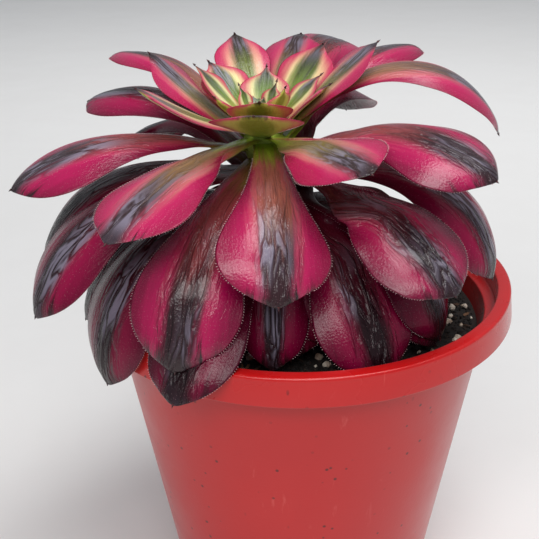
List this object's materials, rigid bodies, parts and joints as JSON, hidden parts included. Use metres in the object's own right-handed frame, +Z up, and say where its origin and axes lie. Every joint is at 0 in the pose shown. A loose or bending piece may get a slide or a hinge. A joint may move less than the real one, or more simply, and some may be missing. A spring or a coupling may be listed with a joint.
{
  "type": "potted aeonium",
  "caption": "Rosette of fleshy spoon-shaped leaves on a short leaning stem, rooted in potting mix in a tapered plastic pot whose rim has a hanging band.",
  "frame": {"origin": "centre of the pot's underside, on the plane it stands on", "axes": "+Z up along the pot's axis, -Y towards the front, where the crown leans, +X to the right seen from the front"},
  "size_m": [0.1548, 0.1428, 0.2038],
  "materials": {
    "pot_red": "moulded, soft sheen, faintly dusty",
    "potting_mix": "loose and damp, with pale mineral grains",
    "stem_bark": "matte, ringed with leaf scars",
    "leaf_heart": "living leaf, waxy sheen",
    "leaf_crimson": "living leaf, glossy and finely wrinkled"
  },
  "bodies": {
    "root": {"growing_tip": "leaf_heart", "leaf_01": "leaf_heart", "leaf_02": "leaf_heart", "leaf_03": "leaf_heart", "leaf_04": "leaf_heart", "leaf_05": "leaf_heart", "leaf_06": "leaf_heart", "leaf_07": "leaf_heart", "leaf_08": "leaf_heart", "leaf_09": "leaf_heart", "leaf_10": "leaf_heart", "leaf_11": "leaf_heart", "leaf_12": "leaf_crimson", "leaf_13": "leaf_crimson", "leaf_14": "leaf_crimson", "leaf_15": "leaf_crimson", "leaf_16": "leaf_crimson", "leaf_17": "leaf_crimson", "leaf_18": "leaf_crimson", "leaf_19": "leaf_crimson", "leaf_20": "leaf_crimson", "leaf_21": "leaf_crimson", "leaf_22": "leaf_crimson", "leaf_23": "leaf_crimson", "leaf_24": "leaf_crimson", "leaf_25": "leaf_crimson", "leaf_26": "leaf_crimson", "leaf_27": "leaf_crimson", "leaf_28": "leaf_crimson", "leaf_29": "leaf_crimson", "leaf_30": "leaf_crimson", "leaf_31": "leaf_crimson", "leaf_32": "leaf_crimson", "leaf_33": "leaf_crimson", "leaf_34": "leaf_crimson", "leaf_35": "leaf_crimson", "leaf_36": "leaf_crimson", "leaf_37": "leaf_crimson", "leaf_38": "leaf_crimson", "leaf_39": "leaf_crimson", "leaf_40": "leaf_crimson", "leaf_41": "leaf_crimson", "leaf_42": "leaf_crimson", "leaf_43": "leaf_crimson", "leaf_44": "leaf_crimson", "leaf_45": "leaf_crimson", "leaf_46": "leaf_crimson", "leaf_47": "leaf_crimson", "leaf_48": "leaf_crimson", "leaf_49": "leaf_crimson", "leaf_50": "leaf_crimson", "pot": "pot_red", "potting_mix": "potting_mix", "stem": "stem_bark"}
  },
  "joints": []
}
